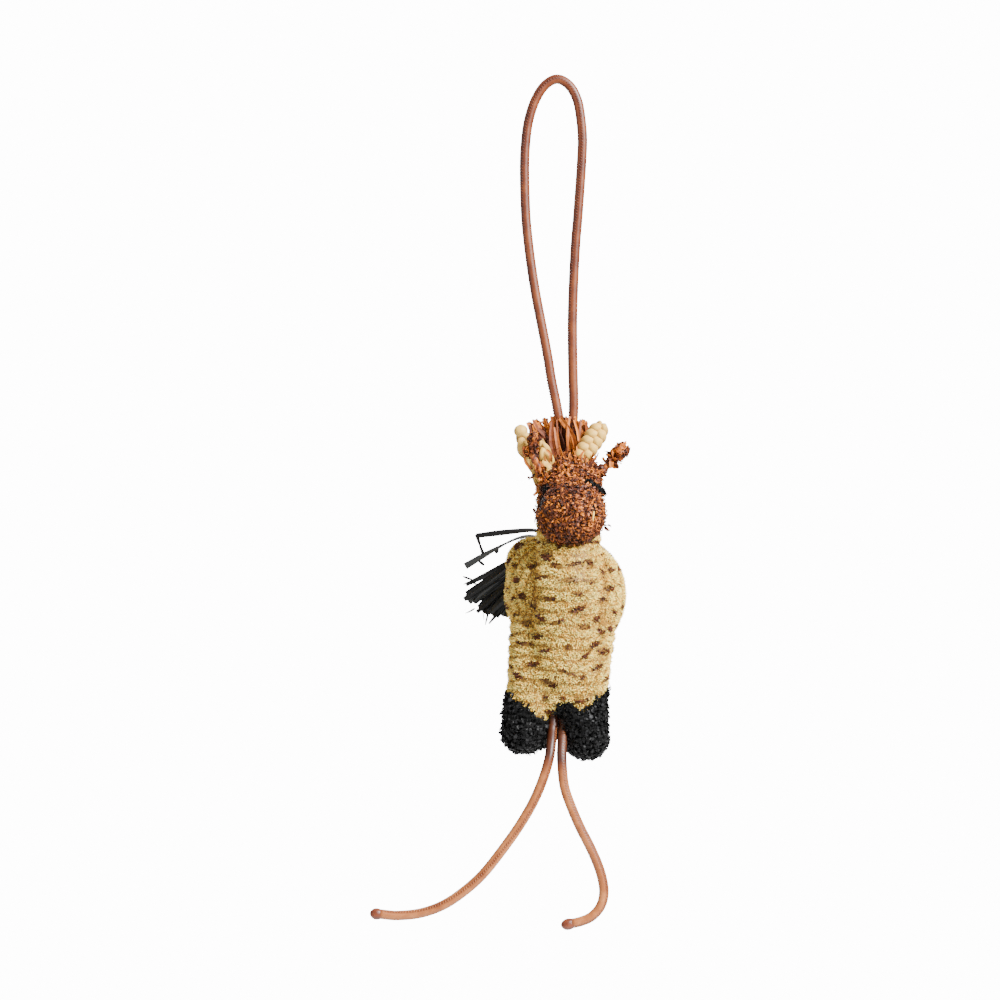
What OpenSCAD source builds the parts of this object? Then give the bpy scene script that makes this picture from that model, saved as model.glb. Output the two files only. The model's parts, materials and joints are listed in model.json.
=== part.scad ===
// Straw goat charm: a cut-raffia animal that hangs on a stitched leather cord.
// The origin is the inside of the cord's loop at its top, where it hangs. +Z is up and the animal
// faces -Y. Left and right are the animal's own, so its left side is +X. Millimetres.

/* [Leather cord] */
// Diameter of the stitched leather cord
cord_d = 4; // [3.6:0.1:4]
// Height of the whipping that binds the two strands together
whip_h = 2.4; // [2:0.2:3]

/* [Trunk] */
// Radius of the trunk over its pile
trunk_r = 25.2; // [24:0.2:25.6]
// Half the length of the trunk from chest to rump, over its pile
trunk_half = 29; // [28:0.5:30]
// Length that the cut raffia stands off the stuffing
pile = 4; // [3.5:0.5:4.5]

/* [Head and neck] */
// Radius of the skull over its pile
skull_r = 13; // [12.4:0.2:13]
// Radius of the muzzle over its pile
muzzle_r = 13; // [12.4:0.2:13.4]
// Radius of the bound straw core of the neck
neck_core_r = 8.5; // [8:0.5:9]

/* [Legs] */
// Radius of a leg over its pile, where it leaves the trunk
leg_r = 10; // [9:0.2:10]
// Radius of a hoof over its pile
hoof_r = 9.2; // [8.6:0.2:9.4]
// Radius of the bound straw core of a leg
leg_core_r = 4; // [3.5:0.5:4]

/* [Inside] */
// Diameter of the armature wire
wire_d = 1.6; // [1.2:0.2:1.6]
// Thickness of the twine that binds the straw
twine_d = 1; // [0.8:0.1:1]
// Clearance between nested pieces
gap = 0.3; // [0.25:0.05:0.35]

/* [Hidden] */

cream = "#e3cf9b";
rust = "#a0541c";
black = "#1d1c1c";
tan = "#b2703f";
straw = "#c9a85c";
twine_tan = "#8a6a3a";
steel = "#8c8c8c";

cord_r = cord_d / 2;
wire_r = wire_d / 2;
elbow = 0.25;
cord_sides = 12;
round_fn = 48;
soft_fn = 32;

// The loop, up the right strand, over the top and down the left one.
loop_route = [[1.7, 0, -140.4], [0.8, 0, -137], [-0.6, 0, -129.6], [-2.3, 0, -121.4], [-3.6, 0, -113.2],
    [-5.1, 0, -105], [-6.7, 0, -96.8], [-8.3, 0, -88.6], [-9.7, 0, -80.4], [-10.9, 0, -72.2],
    [-11.9, 0, -64], [-12.7, 0, -55.8], [-13.1, 0, -47.6], [-13.3, 0, -39.4], [-13.3, 0, -31.2],
    [-12.8, 0, -23], [-11.6, 0, -14.8], [-8.9, 0, -6.6], [-5, 0, -0.6], [0, 0, 2], [5, 0, -0.6],
    [8.3, 0, -6.6], [9.8, 0, -14.8], [10.4, 0, -23], [10.1, 0, -31.2], [9.6, 0, -39.4], [9, 0, -47.6],
    [8.4, 0, -55.8], [7.7, 0, -64], [7.2, 0, -72.2], [6.8, 0, -80.4], [6.5, 0, -88.6], [6.3, 0, -96.8],
    [6.3, 0, -105], [6.4, 0, -113.2], [6.6, 0, -121.4], [6.8, 0, -129.6], [6.6, 0, -137],
    [6.2, 0, -140.4]];
// The free ends, from between the front hooves to just short of their tips.
right_end_route = [[-1.8, -13.7, -261.8], [-2.2, -14.8, -264.4], [-2.6, -18, -269], [-3.6, -20.6, -275.6],
    [-6.4, -21.6, -284.6], [-10.4, -22, -293.6], [-16, -22, -303], [-23, -22, -312.8], [-30.4, -22, -322],
    [-38.2, -22, -329], [-46.4, -22, -334.4], [-55.4, -22, -337.6], [-64.8, -22, -338.6],
    [-72, -22, -338]];
left_end_route = [[2.6, -13.7, -261.8], [2.2, -14.8, -264.4], [1.8, -18, -269], [1.6, -20.6, -275.6],
    [2.6, -21.6, -286.2], [5.4, -22, -294.6], [9, -22, -303], [12.8, -22, -310.4], [16, -22, -317.6],
    [18, -22, -324], [18.6, -22, -329.8], [17.2, -22, -335], [13.4, -22, -339.2], [8.6, -22, -341.2],
    [5.6, -22, -341.8]];
right_tip = [-75, -22, -337.75];
left_tip = [2.6, -22, -342.4];

// The two strands run straight through the animal, from the crown to between the front hooves.
strand_top = [[1.8, 0, -141.6], [6, 0, -141.6]];
strand_foot = [[-1.8, -13, -259], [2.6, -13, -259]];
crown_whip_z = -148;
belly_whip_z = -240;
whip_wall = 0.6;

trunk_c = [3.5, 4.5, -209.5];
trunk_yaw = 3;
trunk_power = 2.6;
skull_c = [5, -4, -163.5];
muzzle_c = [6.2, -19, -176.5];
neck_top = [5.2, -6, -168];
neck_foot = [7, -12, -212];
neck_top_r = 12.5;
neck_foot_r = 14.5;
neck_core_top = [3.4, -4.5, -171];
neck_core_foot = [2.6, -8.5, -200];

// Each leg as [centre of its core's top, centre of the sole of its hoof].
front_left_leg = [[9.9, -12.6, -218], [9, -12, -276.4]];
front_right_leg = [[-10, -12.5, -218], [-11.6, -12, -274]];
hind_left_leg = [[12.6, 21.4, -218], [13.6, 23, -275]];
hind_right_leg = [[-9, 22, -218], [-13, 23, -274.4]];
hip_z = -227;
// The upper edge of a hoof: its height at the middle of the leg and how it leans.
left_hoof_top = [-252.5, [25, 0, 0]];
right_hoof_top = [-254, [18, 30, 0]];
hoof_round = 5;
// The cord's slot between the front legs.
slot_x = [-5.8, 6.8];
slot_y = -5.5;
wire_bridge_z = -214;

spine_path = [[6, -19, -178], [7, -9, -173], [7.4, -12, -196], [9.5, 20, -204]];

forelock_low_z = -150.2;
forelock_top_z = -138;
forelock_low = [-4.6, 12.6, 5.2];
forelock_top = [-9, 11.6, 6.8];
forelock_slot = [-1.8, 9.8, 3.2];
forelock_mouth_y = 4.4;
forelock_mouth_z = -143;
tie_h = 1.4;

left_horn_path = [[9.6, -10.4, -154.4], [18.4, -10, -140.8]];
left_horn_r = 3.1;
right_horn_path = [[-6, -6, -160.5], [-14.4, -5, -143.6]];
right_horn_r = 2.2;
leaf_path = [[-4, -7.8, -157.4], [-6.4, -7.2, -146.4]];
leaf_r = 1.9;
left_ear_path = [[15.4, -5, -159.6], [21.8, -5.4, -153.6]];
right_ear_path = [[-5.4, -10.2, -161.4], [-10.2, -12.2, -151.4]];
ear_stalk_r = 1.4;
left_ear_tuft_path = [[22.2, -5.4, -153.2], [27.4, -6, -147.8]];
right_ear_tuft_path = [[-10.7, -12.4, -150], [-11.2, -12.6, -143]];
ear_tuft_r = 3.2;
left_eye_path = [[12.4, -15.4, -163], [17.8, -10, -165.8]];
right_eye_path = [[-2.8, -15.6, -161.4], [-4.6, -13.4, -166]];
eye_r = 1.3;
mouth_stitch_path = [[14.8, -29, -175.2], [14.8, -28.8, -179.4]];
mouth_stitch_r = 0.6;

tail_pin = [-4, 30, -188.6];
tail_pin_end_y = 40.2;
tail_pin_r = 1.2;
tail_y = 36.2;
tail_thick = 2.4;
tail_tie_r = 3;
tail_outline = [[-2, -186], [-3, -184.6], [-12, -183.4], [-31, -185.4], [-36.4, -198], [-37, -207],
    [-25.4, -219], [-17, -211], [-6, -192], [-2, -190.6]];

// A rod with flat ends from p to q.
module rod(p, q, r) {
    aim(p, q) cylinder(h = norm(q - p), r = r, $fn = round_fn);
}

// Stands its children at p with their +Z towards q.
module aim(p, q) {
    d = q - p;
    translate(p) rotate([0, acos(d[2] / norm(d)), atan2(d[1], d[0])]) children();
}

// A solid of revolution from p to q. Its profile is a list of [radius, share of the way].
module turned(p, q, profile) {
    l = norm(q - p);
    aim(p, q) rotate_extrude($fn = round_fn)
        polygon(concat([[0, profile[0][1] * l]], [for (v = profile) [v[0], v[1] * l]],
            [[0, profile[len(profile) - 1][1] * l]]));
}

// A rounded bar of raffia, from p to q.
module bar(p, q, r) {
    turned(p, q, [[0.5 * r, 0], [0.9 * r, 0.07], [r, 0.2], [r, 0.8], [0.85 * r, 0.93], [0.4 * r, 1]]);
}

// A wire along a list of points, with a slightly swollen elbow at each.
module bent_wire(points, r) {
    for (i = [0:len(points) - 2]) rod(points[i], points[i + 1], r);
    for (p = points) translate(p) sphere(r = r + elbow, $fn = soft_fn);
}

// A tube along a route, with a ring at each of its points.
function unit(v) = v / norm(v);
function heading(route, i) = unit(route[min(i + 1, len(route) - 1)] - route[max(i - 1, 0)]);
function ring(route, i, r) =
    let (t = heading(route, i), across = unit(cross(t, [0, 1, 0])), out = cross(t, across))
    [for (k = [0:cord_sides - 1])
        let (a = 360 * k / cord_sides) route[i] + r * cos(a) * across + r * sin(a) * out];
module cord_tube(route, r) {
    n = len(route);
    s = cord_sides;
    polyhedron(
        points = [for (i = [0:n - 1]) each ring(route, i, r)],
        faces = concat(
            [[for (k = [0:s - 1]) k]],
            [for (i = [0:n - 2], k = [0:s - 1]) each [
                [i * s + k, (i + 1) * s + k, (i + 1) * s + (k + 1) % s],
                [i * s + k, (i + 1) * s + (k + 1) % s, i * s + (k + 1) % s]]],
            [[for (k = [s - 1:-1:0]) (n - 1) * s + k]]));
}

module strands(r) {
    for (k = [0, 1]) rod(strand_top[k], strand_foot[k], r);
}

// Where a strand is at some height.
function strand_at(k, z) = let (t = (z - strand_top[k][2]) / (strand_foot[k][2] - strand_top[k][2]))
    strand_top[k] + t * (strand_foot[k] - strand_top[k]);

// The outline of a bundle that holds both strands, at some height and some distance off them.
module bundle(z, r) {
    a = strand_at(0, z);
    b = strand_at(1, z);
    for (p = [a, b]) translate([p[0], p[1]]) circle(r = r, $fn = round_fn);
    translate([a[0], a[1] - r]) square([b[0] - a[0], 2 * r]);
}

// Thread wound round both strands.
module whipping(low_z) {
    z = low_z + whip_h / 2;
    translate([0, 0, low_z]) linear_extrude(whip_h) difference() {
        bundle(z, cord_r + gap + whip_wall);
        for (k = [0, 1]) translate([strand_at(k, z)[0], strand_at(k, z)[1]])
            circle(r = cord_r + gap, $fn = round_fn);
    }
}

// The trunk's outline is a rounded barrel, taken in by some amount.
function barrel(inset) = [for (a = [0:12:180])
    let (c = cos(a)) [(trunk_r - inset) * pow(sin(a), 2 / trunk_power),
        sign(c) * (trunk_half - inset) * pow(abs(c), 2 / trunk_power)]];
module in_trunk() {
    translate(trunk_c) rotate([90, 0, trunk_yaw]) children();
}
module trunk_form(inset) {
    in_trunk() rotate_extrude($fn = round_fn) polygon(barrel(inset));
}

module head_form(inset) {
    translate(skull_c) sphere(r = skull_r - inset, $fn = round_fn);
    translate(muzzle_c) sphere(r = muzzle_r - inset, $fn = round_fn);
}

module neck_rod(grow) {
    rod(neck_core_top, neck_core_foot, neck_core_r + grow);
}

module leg_rod(leg, grow) {
    rod(leg[0], leg[1] + [0, 0, 4], leg_core_r + grow);
}

module leg_rods(grow) {
    for (leg = [front_left_leg, front_right_leg, hind_left_leg, hind_right_leg]) leg_rod(leg, grow);
}

// The wire of a pair of legs goes up one leg, across and down the other.
function over_hip(leg) = leg[0] + (wire_bridge_z - leg[0][2]) * [0, 0, 1];
function leg_wire_path(a, b) = [a[1] + [0, 0, 6], a[0], over_hip(a), over_hip(b), b[0], b[1] + [0, 0, 6]];

module cord_loop() {
    color(tan) cord_tube(loop_route, cord_r);
}

module cord_inner_run() {
    color(tan) strands(cord_r);
}

module crown_whipping() {
    color(twine_tan) whipping(crown_whip_z);
}

module belly_whipping() {
    color(twine_tan) whipping(belly_whip_z);
}

module head_core() {
    color(straw) difference() {
        head_form(pile + gap);
        neck_rod(gap);
        strands(cord_r + gap);
        bent_wire([spine_path[0], spine_path[1]], wire_r + gap / 2);
    }
}

module head_pile() {
    color(rust) difference() {
        head_form(0);
        head_form(pile);
        neck_rod(gap);
        strands(cord_r + gap);
        for (e = [left_eye_path, right_eye_path]) rod(e[0], e[1], eye_r + gap);
        for (e = [left_ear_path, right_ear_path]) rod(e[0], e[1], ear_stalk_r + gap);
        rod(left_horn_path[0], left_horn_path[1], left_horn_r + gap);
        rod(right_horn_path[0], right_horn_path[1], right_horn_r + gap);
        rod(leaf_path[0], leaf_path[1], leaf_r + gap);
        rod(mouth_stitch_path[0], mouth_stitch_path[1], mouth_stitch_r + gap);
    }
}

// A round straw core with twine sunk in it, at each share of the way from p to q.
module core_grooves(p, q, shares, core_r, grow) {
    l = norm(q - p);
    for (s = shares) aim(p, q) translate([0, 0, s * l - twine_d - grow])
        difference() {
            cylinder(h = 2 * (twine_d + grow), r = core_r + (grow > 0 ? 1 : 0), $fn = round_fn);
            translate([0, 0, -1]) cylinder(h = 2 * (twine_d + grow) + 2, r = core_r - twine_d - grow,
                $fn = round_fn);
        }
}
neck_twine = [0.5, 0.62];
leg_twine = [0.35, 0.6];

module neck_core() {
    color(straw) difference() {
        neck_rod(0);
        strands(cord_r + gap);
        bent_wire(spine_path, wire_r + gap / 2);
        core_grooves(neck_core_top, neck_core_foot, neck_twine, neck_core_r, gap / 2);
    }
}

module neck_binding() {
    color(twine_tan) core_grooves(neck_core_top, neck_core_foot, neck_twine, neck_core_r, 0);
}

module neck_pile() {
    color(cream) difference() {
        turned(neck_top, neck_foot, [[neck_top_r, 0], [neck_foot_r, 0.8], [0.8 * neck_foot_r, 1]]);
        neck_rod(gap);
        head_form(-gap);
        trunk_form(-gap);
    }
}

// Twine round the trunk's stuffing lies in its surface.
trunk_twine = [-14, 6, 20];
module trunk_core() {
    color(straw) difference() {
        trunk_form(pile + gap);
        in_trunk() for (s = trunk_twine) translate([0, 0, s - twine_d]) difference() {
            cylinder(h = 2 * twine_d, r = trunk_r, $fn = round_fn);
            translate([0, 0, -1]) cylinder(h = 2 * twine_d + 2, r = twine_floor(s), $fn = round_fn);
        }
        neck_rod(gap);
        leg_rods(gap);
        strands(cord_r + gap);
        bent_wire(leg_wire_path(front_left_leg, front_right_leg), wire_r + gap / 2);
        bent_wire(leg_wire_path(hind_left_leg, hind_right_leg), wire_r + gap / 2);
        bent_wire(spine_path, wire_r + gap / 2);
        rod(tail_pin, [tail_pin[0], tail_pin_end_y, tail_pin[2]], tail_pin_r + gap / 2);
    }
}

// Radius of the twine's seat, a share of the way along the trunk.
function twine_floor(s) =
    (trunk_r - pile - gap) * pow(1 - pow(abs(s) / (trunk_half - pile - gap), trunk_power), 1 / trunk_power)
    - 1.8 * twine_d;

module trunk_binding() {
    color(twine_tan) difference() {
        in_trunk() for (s = trunk_twine) translate([0, 0, s - twine_d + gap / 2]) difference() {
            cylinder(h = 2 * twine_d - gap, r = twine_floor(s) + gap / 2 + twine_d, $fn = round_fn);
            translate([0, 0, -1]) cylinder(h = 2 * twine_d + 2, r = twine_floor(s) + gap / 2, $fn = round_fn);
        }
        neck_rod(gap);
        leg_rods(gap);
        strands(cord_r + gap);
    }
}

module trunk_pile() {
    color(cream) difference() {
        trunk_form(0);
        trunk_form(pile);
        neck_rod(gap);
        leg_rods(gap);
        strands(cord_r + gap);
        rod(tail_pin, [tail_pin[0], tail_pin_end_y, tail_pin[2]], tail_pin_r + gap);
    }
}

module spine_wire() {
    color(steel) bent_wire(spine_path, wire_r);
}

module front_leg_wire() {
    color(steel) bent_wire(leg_wire_path(front_left_leg, front_right_leg), wire_r);
}

module hind_leg_wire() {
    color(steel) bent_wire(leg_wire_path(hind_left_leg, hind_right_leg), wire_r);
}

module leg_core(leg) {
    p = leg[0];
    q = leg[1] + [0, 0, 4];
    color(straw) difference() {
        leg_rod(leg, 0);
        bent_wire([leg[0], leg[1] + [0, 0, 6]], wire_r + gap / 2);
        core_grooves(p, q, leg_twine, leg_core_r, gap / 2);
    }
}

module leg_bindings() {
    color(twine_tan) for (leg = [front_left_leg, front_right_leg, hind_left_leg, hind_right_leg])
        core_grooves(leg[0], leg[1] + [0, 0, 4], leg_twine, leg_core_r, 0);
}

// Everything above the leaning upper edge of a hoof.
module above_hoof(leg, top, shift) {
    translate([leg[1][0], leg[1][1], top[0] + shift]) rotate(top[1]) translate([-25, -25, 0])
        cube([50, 50, 60]);
}

// The room that the two strands need between the front legs.
module cord_slot() {
    translate([slot_x[0], -60, -300]) cube([slot_x[1] - slot_x[0], 60 + slot_y, 100]);
}

module leg_pile(leg, top) {
    color(cream) difference() {
        intersection() {
            turned([leg[0][0], leg[0][1], hip_z], [leg[1][0], leg[1][1], leg[1][2] + 10],
                [[leg_r, 0], [hoof_r, 1]]);
            above_hoof(leg, top, gap);
        }
        leg_rod(leg, gap);
        trunk_form(-gap);
        cord_slot();
    }
}

module hoof(leg, top) {
    color(black) difference() {
        turned([leg[1][0], leg[1][1], top[0] + 12], leg[1], [[hoof_r + 0.3, 0], [hoof_r, 0.72],
            [hoof_r - 0.8, 0.84], [hoof_r - 2.4, 0.94], [hoof_r - hoof_round, 1]]);
        above_hoof(leg, top, 0);
        leg_rod(leg, gap);
        translate(leg[1] + [0, 0, 6]) sphere(r = wire_r + elbow + gap, $fn = soft_fn);
        cord_slot();
    }
}

module front_left_leg_core() { leg_core(front_left_leg); }
module front_right_leg_core() { leg_core(front_right_leg); }
module hind_left_leg_core() { leg_core(hind_left_leg); }
module hind_right_leg_core() { leg_core(hind_right_leg); }
module front_left_leg_pile() { leg_pile(front_left_leg, left_hoof_top); }
module front_right_leg_pile() { leg_pile(front_right_leg, right_hoof_top); }
module hind_left_leg_pile() { leg_pile(hind_left_leg, left_hoof_top); }
module hind_right_leg_pile() { leg_pile(hind_right_leg, right_hoof_top); }
module front_left_hoof() { hoof(front_left_leg, left_hoof_top); }
module front_right_hoof() { hoof(front_right_leg, right_hoof_top); }
module hind_left_hoof() { hoof(hind_left_leg, left_hoof_top); }
module hind_right_hoof() { hoof(hind_right_leg, right_hoof_top); }

// A flat oval with round ends, from side to side and to a half width in Y, at one height.
module oval(sides, half_y) {
    for (x = [sides[0] + half_y, sides[1] - half_y]) translate([x, 0]) circle(r = half_y, $fn = soft_fn);
    translate([sides[0] + half_y, -half_y]) square([sides[1] - sides[0] - 2 * half_y, 2 * half_y]);
}

// The forelock is a fan of long raffia round the strands, tied at its root.
module forelock() {
    color(rust) difference() {
        union() {
            translate([0, 0, forelock_low_z]) linear_extrude(tie_h + gap)
                oval([forelock_low[0], forelock_low[1]], forelock_low[2]);
            hull() {
                translate([0, 0, forelock_low_z + tie_h + gap]) linear_extrude(0.1)
                    oval([forelock_low[0] - 0.6, forelock_low[1] + 0.6], forelock_low[2] + 0.6);
                translate([0, 0, forelock_top_z - 0.1]) linear_extrude(0.1)
                    oval([forelock_top[0], forelock_top[1]], forelock_top[2]);
            }
        }
        translate([forelock_slot[0], -forelock_slot[2] - 1, forelock_low_z - 1])
            cube([forelock_slot[1] - forelock_slot[0], 2 * forelock_slot[2] + 1, 20]);
        translate([forelock_slot[0], -forelock_mouth_y, forelock_mouth_z])
            cube([forelock_slot[1] - forelock_slot[0], 2 * forelock_mouth_y, 20]);
    }
}

module forelock_tie() {
    color(twine_tan) translate([0, 0, forelock_low_z + gap / 2]) linear_extrude(tie_h) difference() {
        oval([forelock_low[0] - gap - 0.5, forelock_low[1] + gap + 0.5], forelock_low[2] + gap + 0.5);
        oval([forelock_low[0] - gap / 2, forelock_low[1] + gap / 2], forelock_low[2] + gap / 2);
    }
}

module left_horn() {
    color(cream) bar(left_horn_path[0], left_horn_path[1], left_horn_r);
}

module right_horn() {
    color(cream) {
        bar(right_horn_path[0], right_horn_path[1], right_horn_r);
        bar(leaf_path[0], leaf_path[1], leaf_r);
    }
}

module ear_stalk(path) {
    color(rust) rod(path[0], path[1], ear_stalk_r);
}
module left_ear_stalk() { ear_stalk(left_ear_path); }
module right_ear_stalk() { ear_stalk(right_ear_path); }

// A flared brush of cut raffia.
module ear_tuft(path) {
    color(rust) turned(path[0], path[1], [[0.5 * ear_tuft_r, 0], [ear_tuft_r, 0.45],
        [ear_tuft_r, 0.8], [0.7 * ear_tuft_r, 1]]);
}
module left_ear_tuft() { ear_tuft(left_ear_tuft_path); }
module right_ear_tuft() { ear_tuft(right_ear_tuft_path); }

module left_eye() {
    color(black) rod(left_eye_path[0], left_eye_path[1], eye_r);
}
module right_eye() {
    color(black) rod(right_eye_path[0], right_eye_path[1], eye_r);
}

module mouth_stitch() {
    color(cream) rod(mouth_stitch_path[0], mouth_stitch_path[1], mouth_stitch_r);
}

// A bound peg of raffia, sewn into the rump, that holds the tail.
module tail_anchor() {
    color(black) rod(tail_pin, [tail_pin[0], tail_pin_end_y, tail_pin[2]], tail_pin_r);
}

// The tail is a flat fan of ribbon raffia, knotted round its peg.
module tail_strands() {
    color(black) difference() {
        translate([0, tail_y + tail_thick / 2, 0]) rotate([90, 0, 0]) linear_extrude(tail_thick)
            polygon(tail_outline);
        rod(tail_pin, [tail_pin[0], tail_pin_end_y, tail_pin[2]], tail_pin_r + gap);
    }
}

module tail_tie() {
    y = tail_y + tail_thick / 2;
    color(black) translate([tail_pin[0], y + 1.4, tail_pin[2]]) rotate([90, 0, 0]) difference() {
        cylinder(h = 1.4, r = tail_tie_r, $fn = round_fn);
        translate([0, 0, -1]) cylinder(h = 4, r = tail_pin_r + gap, $fn = round_fn);
    }
}

module cord_end_left() {
    color(tan) cord_tube(left_end_route, cord_r);
}

module cord_end_right() {
    color(tan) cord_tube(right_end_route, cord_r);
}

// The leather is folded over the end of the cord and stitched shut.
module cord_tip(route, tip) {
    end = route[len(route) - 1];
    color(tan) turned(end, tip, [[cord_r, 0], [cord_r, 0.35], [0.8 * cord_r, 0.75], [0.4 * cord_r, 1]]);
}
module cord_tip_left() { cord_tip(left_end_route, left_tip); }
module cord_tip_right() { cord_tip(right_end_route, right_tip); }

cord_loop();
cord_inner_run();
crown_whipping();
belly_whipping();
head_core();
head_pile();
neck_core();
neck_binding();
neck_pile();
trunk_core();
trunk_binding();
trunk_pile();
spine_wire();
front_leg_wire();
hind_leg_wire();
front_left_leg_core();
front_right_leg_core();
hind_left_leg_core();
hind_right_leg_core();
leg_bindings();
front_left_leg_pile();
front_right_leg_pile();
hind_left_leg_pile();
hind_right_leg_pile();
front_left_hoof();
front_right_hoof();
hind_left_hoof();
hind_right_hoof();
forelock();
forelock_tie();
left_horn();
right_horn();
left_ear_stalk();
right_ear_stalk();
left_ear_tuft();
right_ear_tuft();
left_eye();
right_eye();
mouth_stitch();
tail_anchor();
tail_strands();
tail_tie();
cord_end_left();
cord_end_right();
cord_tip_left();
cord_tip_right();
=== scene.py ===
import json
import math

import bmesh
import bpy
import numpy as np
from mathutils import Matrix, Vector


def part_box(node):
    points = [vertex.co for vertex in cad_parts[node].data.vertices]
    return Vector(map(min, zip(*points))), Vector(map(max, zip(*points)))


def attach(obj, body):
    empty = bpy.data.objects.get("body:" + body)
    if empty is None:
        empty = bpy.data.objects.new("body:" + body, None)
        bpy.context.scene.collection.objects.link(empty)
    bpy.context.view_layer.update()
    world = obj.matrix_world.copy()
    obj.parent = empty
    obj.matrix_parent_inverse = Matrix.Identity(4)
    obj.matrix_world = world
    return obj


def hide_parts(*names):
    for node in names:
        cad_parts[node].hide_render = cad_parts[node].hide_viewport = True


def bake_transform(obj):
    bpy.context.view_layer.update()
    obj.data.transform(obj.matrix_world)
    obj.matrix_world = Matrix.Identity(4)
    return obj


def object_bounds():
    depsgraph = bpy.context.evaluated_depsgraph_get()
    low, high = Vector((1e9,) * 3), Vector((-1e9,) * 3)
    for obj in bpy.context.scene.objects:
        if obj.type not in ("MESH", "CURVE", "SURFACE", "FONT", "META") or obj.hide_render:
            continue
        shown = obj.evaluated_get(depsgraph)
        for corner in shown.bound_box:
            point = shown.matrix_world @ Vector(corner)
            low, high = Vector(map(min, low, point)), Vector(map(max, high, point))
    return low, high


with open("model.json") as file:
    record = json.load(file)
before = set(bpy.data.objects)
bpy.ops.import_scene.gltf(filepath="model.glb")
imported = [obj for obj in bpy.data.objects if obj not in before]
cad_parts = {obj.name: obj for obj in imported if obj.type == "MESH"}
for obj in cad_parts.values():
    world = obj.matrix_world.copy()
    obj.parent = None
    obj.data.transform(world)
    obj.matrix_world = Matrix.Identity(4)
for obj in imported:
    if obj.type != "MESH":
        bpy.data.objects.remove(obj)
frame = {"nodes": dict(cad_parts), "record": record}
cad_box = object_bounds()
MM = 0.001

# ---- Camera, light and floor -------------------------------------------------------------
# The charm hangs in plain soft light, seen level and from straight in front, with a pale floor
# well below it.
LENS = 140
SENSOR = 36
VIEW_WIDTH = 0.41
ROOM_LIGHT = 0.75
WHITE_BEHIND = 14.0
low = Vector(cad_box[0])
aim = Vector((-23.4, 0, -170.6)) * MM
camera_data = bpy.data.cameras.new("camera")
camera_data.sensor_width = SENSOR
camera_data.lens = LENS
camera = bpy.data.objects.new("camera", camera_data)
bpy.context.scene.collection.objects.link(camera)
camera.location = aim + Vector((0, -LENS / SENSOR * VIEW_WIDTH, 0))
camera.rotation_euler = (math.pi / 2, 0, 0)
camera_data.clip_start = 0.01
bpy.context.scene.camera = camera


def area_light(name, place, size, power):
    data = bpy.data.lights.new(name, "AREA")
    data.size = size
    data.energy = power
    light = bpy.data.objects.new(name, data)
    bpy.context.scene.collection.objects.link(light)
    light.location = aim + Vector(place)
    light.rotation_euler = (aim - light.location).to_track_quat("-Z", "Y").to_euler()


area_light("key_light", (0.9, -0.9, 0.75), 0.4, 96)
area_light("fill_light", (-1.0, -0.8, 0.1), 0.9, 3)
area_light("back_light", (-0.3, 1.1, 0.6), 0.8, 12)

world = bpy.data.worlds.new("soft_room")
world.use_nodes = True
backdrop = world.node_tree.nodes["Background"]
backdrop.inputs["Color"].default_value = (1, 1, 1, 1)
rays = world.node_tree.nodes.new("ShaderNodeLightPath")
glow = world.node_tree.nodes.new("ShaderNodeMapRange")
glow.inputs["To Min"].default_value = ROOM_LIGHT
glow.inputs["To Max"].default_value = WHITE_BEHIND
world.node_tree.links.new(rays.outputs["Is Camera Ray"], glow.inputs["Value"])
world.node_tree.links.new(glow.outputs["Result"], backdrop.inputs["Strength"])
bpy.context.scene.world = world


class Finish:
    """A material being put together, with short calls for its nodes."""

    def __init__(self, name, roughness, **sockets):
        self.material = bpy.data.materials.new(name)
        self.material.use_nodes = True
        self.tree = self.material.node_tree
        self.shader = self.tree.nodes["Principled BSDF"]
        self.shader.inputs["Roughness"].default_value = roughness
        for socket, value in sockets.items():
            self.shader.inputs[socket.replace("_", " ")].default_value = value

    def node(self, kind, **values):
        made = self.tree.nodes.new(kind)
        for name, value in values.items():
            if name in made.inputs:
                made.inputs[name].default_value = value
            else:
                setattr(made, name, value)
        return made

    def link(self, out, into):
        self.tree.links.new(out, into)

    def place(self):
        return self.node("ShaderNodeTexCoord").outputs["Object"]

    def noise(self, scale, detail=3.0, stretch=None):
        made = self.node("ShaderNodeTexNoise", Scale=scale, Detail=detail)
        where = self.place()
        if stretch:
            mapping = self.node("ShaderNodeMapping", Scale=stretch)
            self.link(where, mapping.inputs["Vector"])
            where = mapping.outputs["Vector"]
        self.link(where, made.inputs["Vector"])
        return made.outputs["Fac"]

    def value(self, name):
        return self.node("ShaderNodeAttribute", attribute_name=name).outputs["Fac"]

    def ramp(self, factor, stops):
        made = self.node("ShaderNodeValToRGB")
        bar = made.color_ramp.elements
        while len(bar) < len(stops):
            bar.new(0.5)
        for element, (at, colour) in zip(bar, stops):
            element.position = at
            element.color = (*colour, 1)
        self.link(factor, made.inputs["Fac"])
        return made.outputs["Color"]

    def mix(self, factor, a, b, blend="MIX"):
        made = self.node("ShaderNodeMix", data_type="RGBA", blend_type=blend)
        for source, socket in ((factor, 0), (a, 6), (b, 7)):
            if hasattr(source, "is_output"):
                self.link(source, made.inputs[socket])
            else:
                made.inputs[socket].default_value = (*source, 1) if socket else source
        return made.outputs[2]

    def colour(self, out):
        self.link(out, self.shader.inputs["Base Color"])

    def bump(self, height, distance, strength=0.5):
        made = self.node("ShaderNodeBump", Distance=distance, Strength=strength)
        self.link(height, made.inputs["Height"])
        self.link(made.outputs["Normal"], self.shader.inputs["Normal"])

    def roughness(self, factor, least, most):
        made = self.node("ShaderNodeMapRange")
        made.inputs["To Min"].default_value = least
        made.inputs["To Max"].default_value = most
        self.link(factor, made.inputs["Value"])
        self.link(made.outputs["Result"], self.shader.inputs["Roughness"])


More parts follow.
